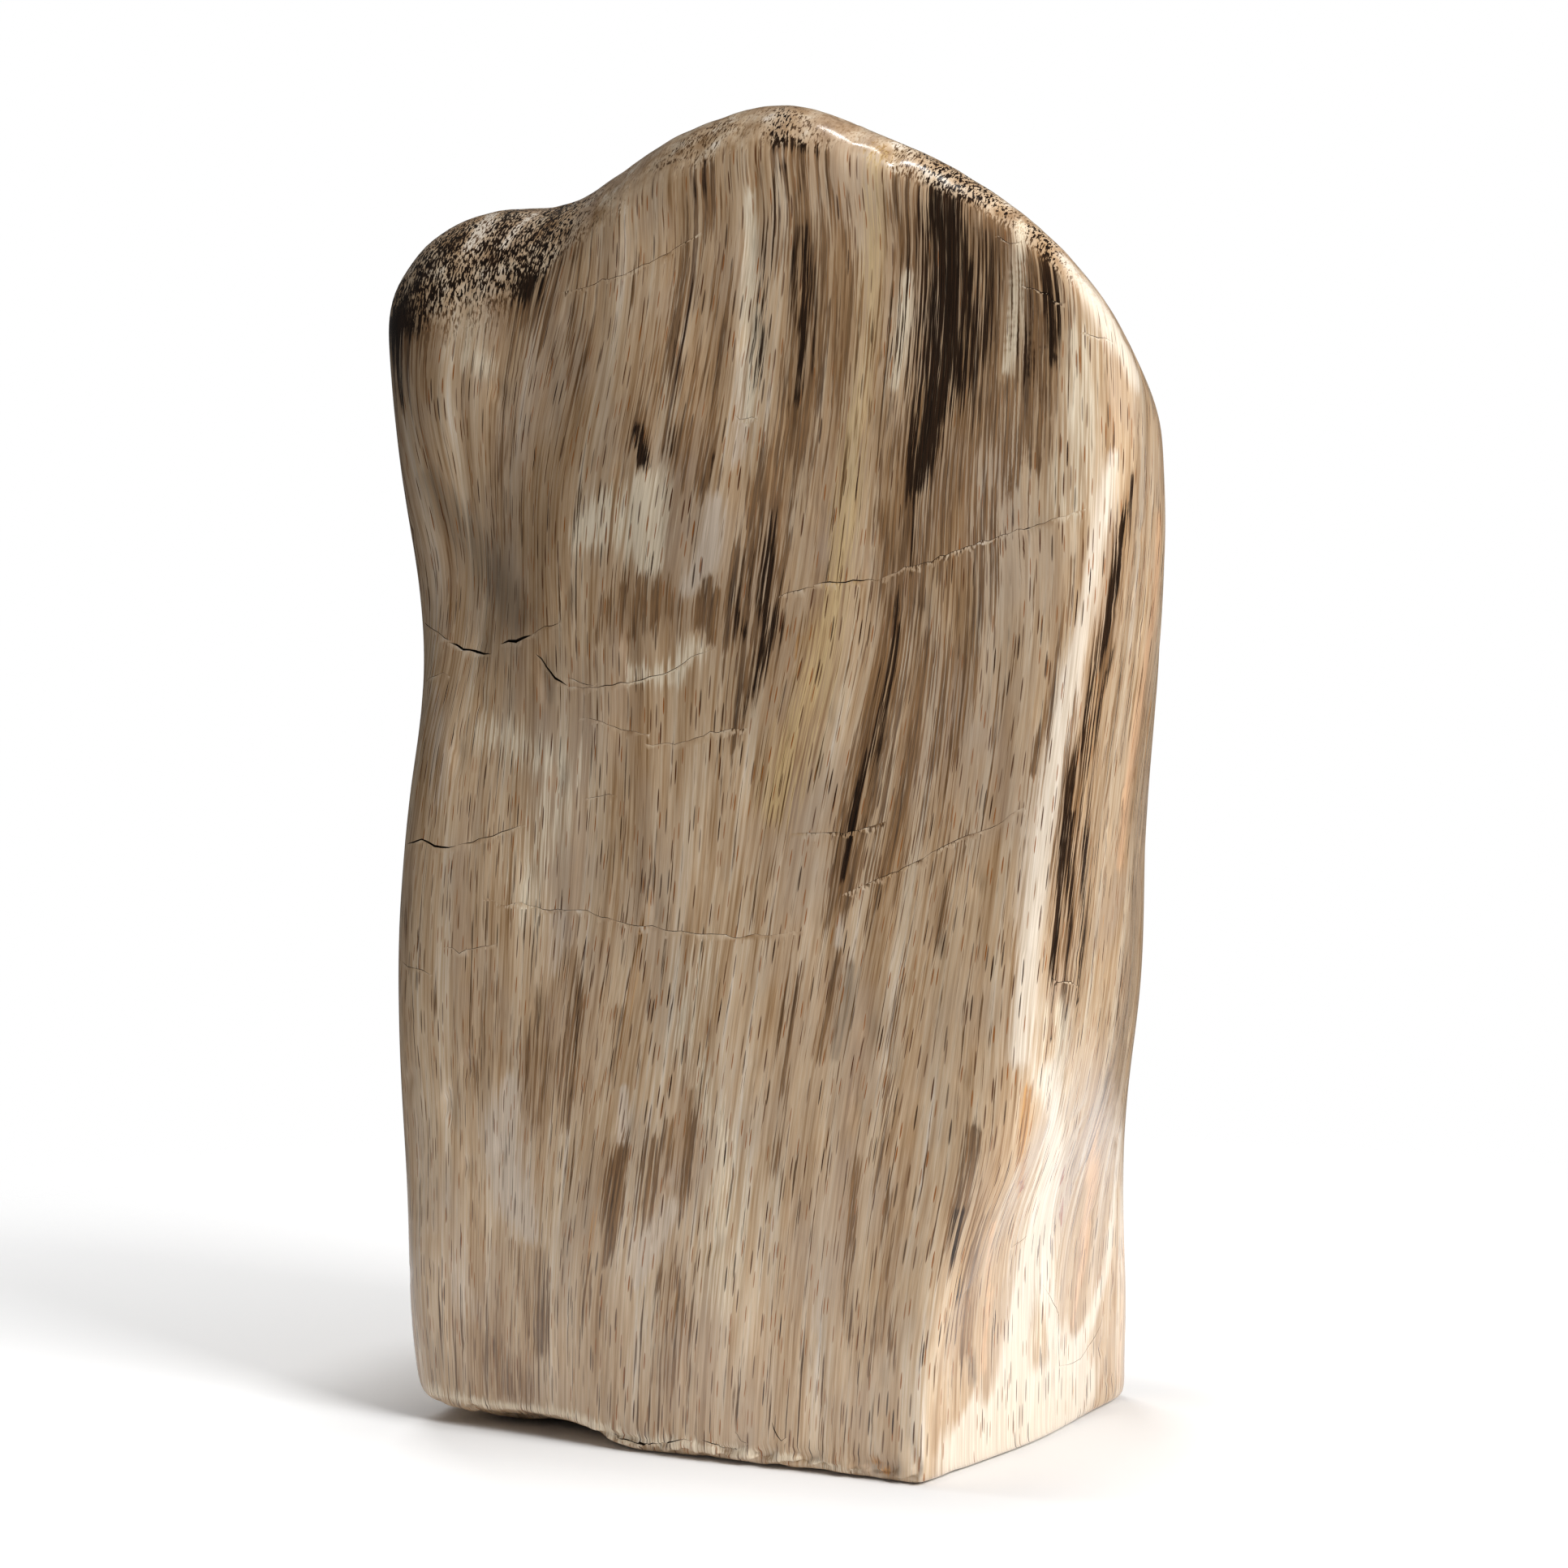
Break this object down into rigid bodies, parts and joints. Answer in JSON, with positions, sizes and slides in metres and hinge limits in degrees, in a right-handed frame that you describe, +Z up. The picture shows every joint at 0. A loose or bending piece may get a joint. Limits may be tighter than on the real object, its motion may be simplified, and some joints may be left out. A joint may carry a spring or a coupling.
{
  "type": "fossil wood specimen",
  "caption": "Upright free-standing length of polished silicified wood with a domed wavy top, a shoulder with a hollow below it, and a sawn flat foot whose front edge is broken away.",
  "frame": {"origin": "middle of the part's bounding box seen from above, on the surface that its sawn foot stands on", "axes": "+Z up along the grain of the wood, from the sawn foot to the domed top; +X to the right along the broad front face; +Y from the front face to the back"},
  "size_m": [0.2506, 0.1606, 0.4],
  "materials": {
    "silicified_wood": "satin"
  },
  "bodies": {
    "root": {"fossil_wood": "silicified_wood"}
  },
  "joints": []
}
